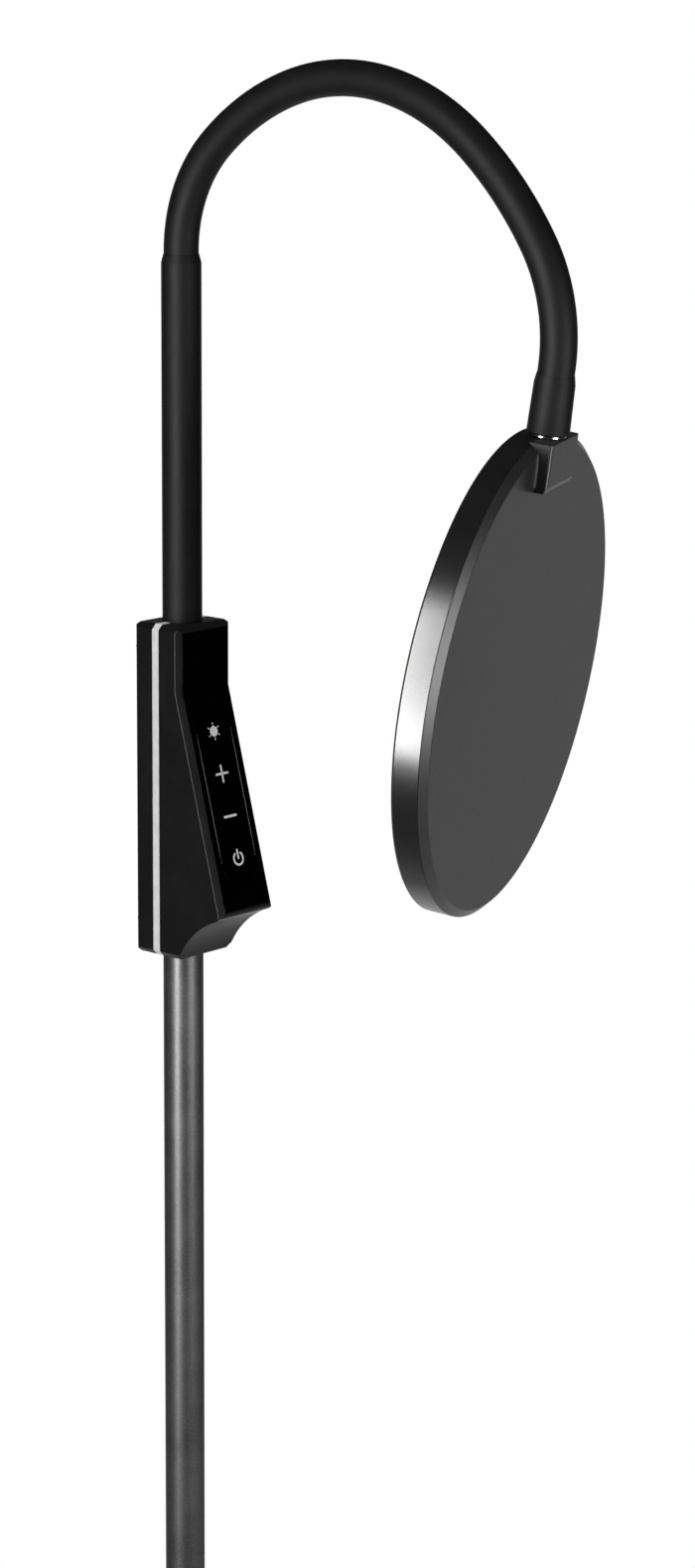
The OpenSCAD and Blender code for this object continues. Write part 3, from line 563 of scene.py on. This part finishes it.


# painted shade: the dark rubber finish on the boss end and the spigot stands in for the shade under the
# neck
secondFinish(softPieces["head_back"].data, "pad_rubber", inBossEndShade)
secondFinish(nodes["swivel_spigot"].data, "pad_rubber", inBossEndShade)


# screws of the control box, with their heads below the shell's chamfer

boxScrews = {"name": "sunkScrews", "deeper": 1.25}  # mm


def sinkScrews(look):
    source = nodes["box_screws"]
    mesh = source.data.copy()
    mesh.name = look["name"]
    mesh.transform(Matrix.Translation((0, -look["deeper"] * mm, 0)))
    piece = addObject(look["name"], mesh)
    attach(piece, source["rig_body"])
    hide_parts("box_screws")


sinkScrews(boxScrews)
print("nose, boss and screws finished")


# flanks of the boss: a slightly leaning wall that runs out into the flat back in a soft cove

bossFlank = {
    "middle": (1.009, -238.49, 1290.692),  # centre of the flat back, mm
    "outward": (0.32557, -0.93489, -0.14139),
    "half": 20,               # half the boss's width
    "from": 102.6,            # mm from the centre of the back
    "to": 127.3,
    "top": 5.6,
    "lean": 5,                # degrees
    "cove": 2.4,
    "leastCove": 0.05,        # share of it that is left at the ends
    "coveEnds": (2.5, 113, 124.5),  # fade at the lower end, then where the cove starts and stops shrinking
    "flatTo": 123.8,          # the back is flat to this radius and then drops
    "drop": 1.0,
    "gap": 0.03,              # mm that the wall stands off the boss
    "into": 0.3,              # mm that it reaches into the boss and the back
    "shadedWallShare": 0.45,        # faces turned further sideways than this get the darker finish, painted shade
    "creaseOver": 35,
    "steps": 8,
    "sections": 40,
}


def flankSection(look, along):
    low, shrinkFrom, shrinkTo = look["coveEnds"]
    share = min((along - look["from"]) / low, (shrinkTo - along) / (shrinkTo - shrinkFrom))
    r = look["cove"] * max(look["leastCove"], math.sin(math.pi / 2 * min(1, max(0, share))))
    lean = math.tan(math.radians(look["lean"]))
    side, hidden = look["half"] + look["gap"], look["half"] - look["into"]
    wall = side + (look["top"] - r) * lean
    base = -look["drop"] * max(0, math.hypot(wall + r, along) - look["flatTo"])
    ring = [(hidden, base - look["into"]), (wall + r, base - look["into"] / 2)]
    for i in range(look["steps"] + 1):
        t = math.pi / 2 * i / look["steps"]
        ring.append((wall + r * (1 - math.sin(t)), base + r * (1 - math.cos(t))))
    return ring + [(side, look["top"]), (hidden, look["top"])]


def drawFlanks(look):
    outward = Vector(look["outward"])
    across = headUpward.cross(outward)
    bm = bmesh.new()
    for side in (-1, 1):
        sections = []
        for k in range(look["sections"] + 1):
            along = look["from"] + (look["to"] - look["from"]) * k / look["sections"]
            foot = Vector(look["middle"]) + along * headUpward
            sections.append([
                bm.verts.new((foot + side * x * across + z * outward) * mm)
                for x, z in flankSection(look, along)
            ])
        for a, b in zip(sections, sections[1:]):
            joinRings(bm, a, b)
        bm.faces.new(sections[0])
        bm.faces.new(list(reversed(sections[-1])))
    bmesh.ops.recalc_face_normals(bm, faces=bm.faces)
    mesh = finishMesh(bm, "bossFlanks", look["creaseOver"])
    mesh.materials.append(madeFinishes["head_plastic"])
    # painted shade: the darker box finish on the sideways faces of the wall and the steeper part of the
    # cove
    secondFinish(mesh, "box_plastic", lambda face: abs(face.normal.dot(across)) > look["shadedWallShare"])
    piece = addObject("bossFlanks", mesh)
    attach(piece, "head")


drawFlanks(bossFlank)
print("boss flanks drawn")


# rubber skin of the neck, from the middle of one section to the middle of the next

neckSkin = {
    "foot": 1494.1,           # mm above the floor, where the first joint sits
    "radius": 9.56,
    "inner": 7.7,
    "sectionLength": 32.4,
    "bends": (47, 25, 29.1, 27.1, 18.6, 41.8),  # degrees for each pair of sections
    "sides": 64,
    "ringStep": 1.5,
    "intoSleeve": 1.6,        # how far it starts below the first joint
    "intoEnd": 5.2,           # how far it runs past the last joint
    "blendReach": 11,         # mm on either side of a sway joint
    "creaseOver": 50,
    "swayJoints": (1, 11),    # here one skin piece runs across the joint, at the others two halves turn over a hidden ball
    "ball": {"radius": 9.5, "inner": 7.9, "reach": 24, "steps": 8},  # mm, and degrees to either side
}


def neckPath(look):  # places of the joints with the neck's heading at each
    joints = [(Vector((0, 0, look["foot"])), 0.0)]
    for pair in look["bends"]:
        for _ in range(2):
            place, heading = joints[-1]
            bend = math.radians(pair / 2)
            joints.append((place + alongArc(look, heading, bend, look["sectionLength"]), heading + bend))
    return joints


def headingAlong(heading):
    return Vector((0, -math.sin(heading), math.cos(heading)))


def alongArc(look, heading, bend, distance):
    share = bend * distance / look["sectionLength"]
    r = look["sectionLength"] / bend
    ahead, aside = r * math.sin(share), r * (1 - math.cos(share))
    return Vector((
        0,
        -ahead * math.sin(heading) - aside * math.cos(heading),
        ahead * math.cos(heading) - aside * math.sin(heading),
    ))


def neckPlace(look, joints, distance):  # centre and heading at a distance from the first joint
    count = len(joints) - 1
    i = min(max(int(distance // look["sectionLength"]), 0), count - 1)
    place, heading = joints[i]
    beyond = distance - i * look["sectionLength"]
    if distance < 0:
        return place + Vector((0, 0, distance)), heading
    if distance > count * look["sectionLength"]:
        place, heading = joints[count]
        beyond = distance - count * look["sectionLength"]
        return place + beyond * headingAlong(heading), heading
    bend = math.radians(look["bends"][i // 2] / 2)
    return place + alongArc(look, heading, bend, beyond), heading + bend * beyond / look["sectionLength"]


def ringAt(bm, look, centre, heading, r):
    across = Vector((1, 0, 0))
    forwards = Vector((0, -math.cos(heading), -math.sin(heading)))
    ring = []
    for i in range(look["sides"]):
        t = 2 * math.pi * i / look["sides"]
        ring.append(bm.verts.new((centre + r * (math.cos(t) * across + math.sin(t) * forwards)) * mm))
    return ring


def hollowPiece(bm, name, outer, inner):  # closes the rings into a tube with a wall
    for a, b in zip(outer, outer[1:]):
        joinRings(bm, a, b)
    for a, b in zip(inner, inner[1:]):
        joinRings(bm, b, a)
    joinRings(bm, inner[0], outer[0])
    joinRings(bm, outer[-1], inner[-1])
    bmesh.ops.recalc_face_normals(bm, faces=bm.faces)
    mesh = finishMesh(bm, name, neckSkin["creaseOver"])
    mesh.materials.append(madeFinishes["neck_rubber"])
    piece = addObject(name, mesh)
    return piece


def skinPiece(look, joints, name, start, end):
    count = max(2, round((end - start) / look["ringStep"]))
    places = [neckPlace(look, joints, start + (end - start) * k / count) for k in range(count + 1)]
    bm = bmesh.new()
    outer = [ringAt(bm, look, *place, look["radius"]) for place in places]
    inner = [ringAt(bm, look, *place, look["inner"]) for place in places]
    return hollowPiece(bm, name, outer, inner)


def skinBall(look, joint, name):
    place, heading = joint
    ball = look["ball"]
    ahead = headingAlong(heading)
    bm = bmesh.new()
    outer, inner = [], []
    for k in range(ball["steps"] + 1):
        t = math.radians(ball["reach"]) * (2 * k / ball["steps"] - 1)
        centre = place + ball["radius"] * math.sin(t) * ahead
        outer.append(ringAt(bm, look, centre, heading, ball["radius"] * math.cos(t)))
        inner.append(ringAt(bm, look, centre, heading, ball["inner"]))
    return hollowPiece(bm, name, outer, inner)


def addSkin(look, joints, i):
    last = len(joints) - 1
    length = look["sectionLength"]
    start = -look["intoSleeve"] if i == 0 else (i - 0.5) * length
    end = last * length + look["intoEnd"] if i == last else (i + 0.5) * length
    before = "stand" if i == 0 else f"neck_{i:02d}"
    after = "neck_end" if i == last else f"neck_{i + 1:02d}"
    name = f"neckSkin{i:02d}"
    if i not in look["swayJoints"]:
        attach(skinPiece(look, joints, name + "Before", start, i * length), before)
        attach(skinBall(look, joints[i], name + "Ball"), before)
        piece = skinPiece(look, joints, name + "After", i * length, end)
        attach(piece, after)
    else:
        piece = skinPiece(look, joints, name, start, end)
        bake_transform(piece)
    if i < last:
        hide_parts(f"neck_cover_{i + 1:02d}")


skinJoints = neckPath(neckSkin)
for i in range(len(skinJoints)):
    addSkin(neckSkin, skinJoints, i)


# printed signs on the touch lens, and painted highlights along its long edges

touchSigns = {
    "knee": (17.4, 1255.7),   # mm forward of the pole's axis and above the floor
    "slope": 15,              # degrees
    "proud": 0.05,
    "thick": 0.08,
    "barSteps": 10,           # of each round end
    "sun": {"down": 23.9, "disc": 2.95, "rayFrom": 2.8, "rayTo": 4.5, "ray": 0.16, "tip": 0.42, "rays": 6,
            "discSteps": 40, "tipSteps": 16},
    "plus": {"down": 47.6, "reach": 4.5, "stroke": 0.62},
    "minus": {"down": 71.4, "reach": 4.5, "stroke": 0.68},
    "power": {"down": 95.1, "ring": 3.55, "stroke": 0.58, "open": 38, "barFrom": 0.1, "barTo": 4.7,
              "ringSteps": 48, "endSteps": 20},
    "outline": {"down": 59.5, "length": 72, "aside": 13.6, "stroke": 0.17, "parts": 24, "taper": 0.2},
}


def signBar(bm, start, end, r, z):  # a stroke with round ends, r to either side of its middle line
    steps = touchSigns["barSteps"]
    start, end = Vector((*start, 0)), Vector((*end, 0))
    along = math.atan2(end.y - start.y, end.x - start.x)
    rim = []
    for centre, first in ((end, along - math.pi / 2), (start, along + math.pi / 2)):
        for k in range(steps + 1):
            t = first + math.pi * k / steps
            rim.append(centre + r * Vector((math.cos(t), math.sin(t), 0)))
    addPlate(bm, rim, z)


def addPlate(bm, rim, z):
    low = [bm.verts.new((p.x, p.y, z[0])) for p in rim]
    high = [bm.verts.new((p.x, p.y, z[1])) for p in rim]
    bm.faces.new(high)
    bm.faces.new(list(reversed(low)))
    joinRings(bm, low, high)


def signDisc(bm, centre, r, z, steps):
    turns = [2 * math.pi * k / steps for k in range(steps)]
    addPlate(bm, [Vector((centre[0] + r * math.cos(t), centre[1] + r * math.sin(t), 0)) for t in turns], z)


def signArc(bm, look, z):  # a ring that stays open at its top
    r, half, steps = look["ring"], look["stroke"], look["ringSteps"]
    first, last = 90 + look["open"], 90 + 360 - look["open"]
    outer, inner = [], []
    for k in range(steps + 1):
        t = math.radians(first + (last - first) * k / steps)
        outer.append(Vector(((r + half) * math.cos(t), (r + half) * math.sin(t), 0)))
        inner.append(Vector(((r - half) * math.cos(t), (r - half) * math.sin(t), 0)))
    for a, b, c, d in zip(outer, outer[1:], inner[1:], inner):
        addPlate(bm, [a, b, c, d], z)
    for t in (math.radians(first), math.radians(last)):
        signDisc(bm, (r * math.cos(t), r * math.sin(t)), half, z, look["endSteps"])


def printSign(name, sign, draw, ink="signInk"):
    bm = bmesh.new()
    draw(bm, touchSigns[sign], (-touchSigns["thick"], touchSigns["proud"]))
    mesh = finishMesh(bm, name)
    forward, height = touchSigns["knee"]
    slope = math.radians(touchSigns["slope"])
    outward = Vector((0, -math.cos(slope), math.sin(slope)))
    downhill = Vector((0, -math.sin(slope), -math.cos(slope)))
    origin = Vector((0, -forward, height)) + downhill * touchSigns[sign]["down"]
    turn = Matrix((Vector((1, 0, 0)), -downhill, outward)).transposed().to_4x4()
    mesh.transform(Matrix.Translation(origin * mm) @ turn @ Matrix.Scale(mm, 4))
    mesh.materials.append(inks[ink])
    piece = addObject(name, mesh)
    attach(piece, "stand")


inkLooks = {
    "signInk": {"dark": grey(0.72), "light": grey(0.80), "cloud": 900, "rough": (0.4, 0.5),
                "grain": 2500, "bump": 0.1, "specular": 0.4},
    # grey of the painted highlights along the lens's long edges
    "outlineInk": {"dark": grey(0.19), "light": grey(0.24), "cloud": 300, "rough": (0.4, 0.5),
                   "grain": 2500, "bump": 0.1, "specular": 0.3},
}
inks = {name: makeFinish(name, look) for name, look in inkLooks.items()}


def drawSun(bm, look, z):
    signDisc(bm, (0, 0), look["disc"], z, look["discSteps"])
    for k in range(look["rays"]):
        t = math.pi / 2 + 2 * math.pi * k / look["rays"]
        way = Vector((math.cos(t), math.sin(t)))
        signBar(bm, way * look["rayFrom"], way * look["rayTo"], look["ray"], z)
        signDisc(bm, way * look["rayTo"], look["tip"], z, look["tipSteps"])


def drawPlus(bm, look, z):
    signBar(bm, (-look["reach"], 0), (look["reach"], 0), look["stroke"], z)
    signBar(bm, (0, -look["reach"]), (0, look["reach"]), look["stroke"], z)


def drawMinus(bm, look, z):
    signBar(bm, (-look["reach"], 0), (look["reach"], 0), look["stroke"], z)


def drawPower(bm, look, z):
    signArc(bm, look, z)
    signBar(bm, (0, look["barFrom"]), (0, look["barTo"]), look["stroke"], z)


# painted highlight: grey strokes along the lens's two long edges, fading at their ends
def drawEdgeHighlight(bm, look, z):
    for side in (-1, 1):
        middle = Vector((side * look["aside"], 0, 0))
        for k in range(look["parts"]):
            share = (k + 0.5) / look["parts"]
            r = look["stroke"] * min(1, share / look["taper"], (1 - share) / look["taper"])
            low, high = (look["length"] * (q / look["parts"] - 0.5) for q in (k, k + 1))
            corners = ((-r, low), (r, low), (r, high), (-r, high))
            addPlate(bm, [middle + Vector((x, y, 0)) for x, y in corners], z)


printSign("lensEdgeHighlight", "outline", drawEdgeHighlight, "outlineInk")
printSign("signSun", "sun", drawSun)
printSign("signPlus", "plus", drawPlus)
printSign("signMinus", "minus", drawMinus)
printSign("signPower", "power", drawPower)
print("signs printed")
